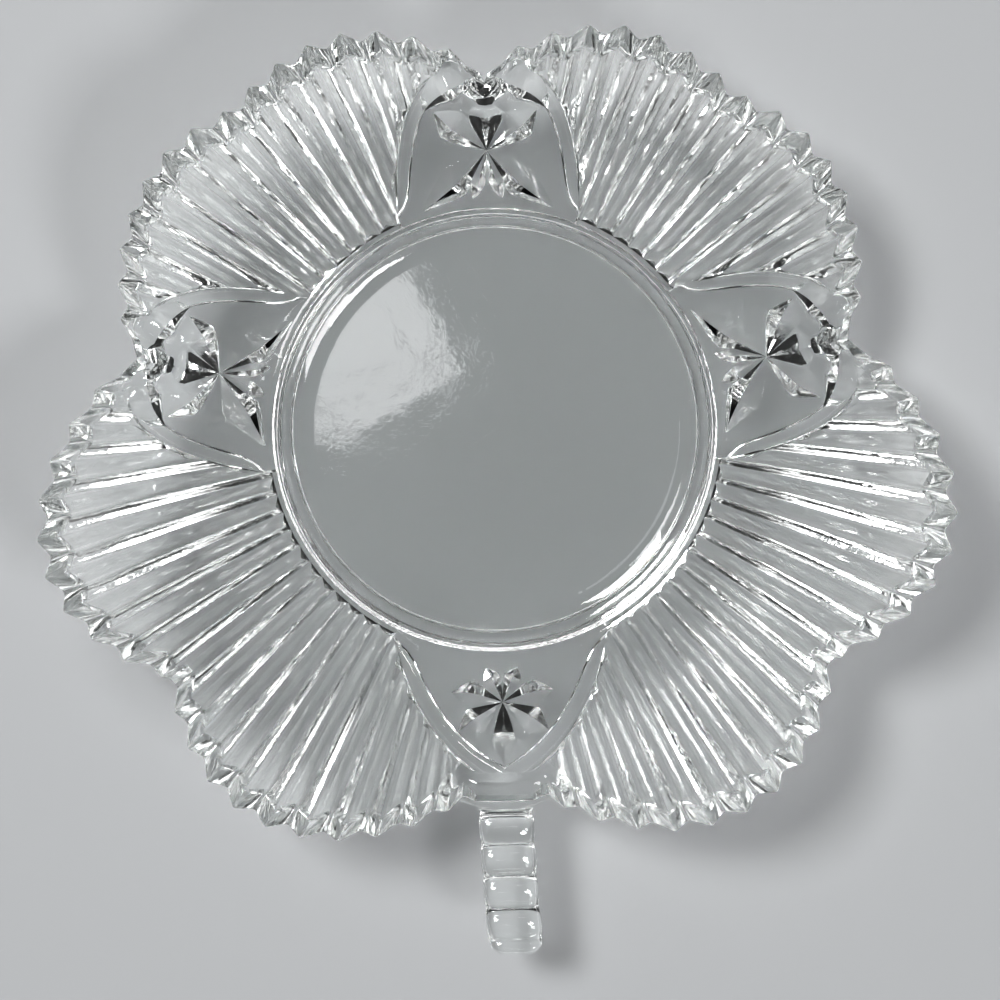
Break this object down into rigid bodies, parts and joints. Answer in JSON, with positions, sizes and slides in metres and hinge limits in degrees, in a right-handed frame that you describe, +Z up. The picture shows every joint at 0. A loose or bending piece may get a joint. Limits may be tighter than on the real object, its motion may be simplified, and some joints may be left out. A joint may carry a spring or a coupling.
{
  "type": "glass dish",
  "caption": "Clear pressed-glass dish shaped like a clover leaf: round flat well, fluted heart-shaped leaflets, star-cut panels between them and a short ribbed stem handle.",
  "frame": {"origin": "middle of the foot's flat underside, on the surface that the dish stands on", "axes": "+Z up out of the bowl, +Y to the rear notch, -Y along the stem handle, +X right seen from the stem"},
  "size_m": [0.165, 0.1713, 0.0375],
  "materials": {
    "clear_glass": "fire-polished clear soda-lime glass, pressed in a mould"
  },
  "bodies": {
    "root": {"well": "clear_glass", "leaflet_rear_right": "clear_glass", "leaflet_rear_left": "clear_glass", "leaflet_front_right": "clear_glass", "leaflet_front_left": "clear_glass", "star_panel_rear": "clear_glass", "star_panel_right": "clear_glass", "star_panel_left": "clear_glass", "star_panel_front": "clear_glass", "stem_handle": "clear_glass"}
  },
  "joints": []
}
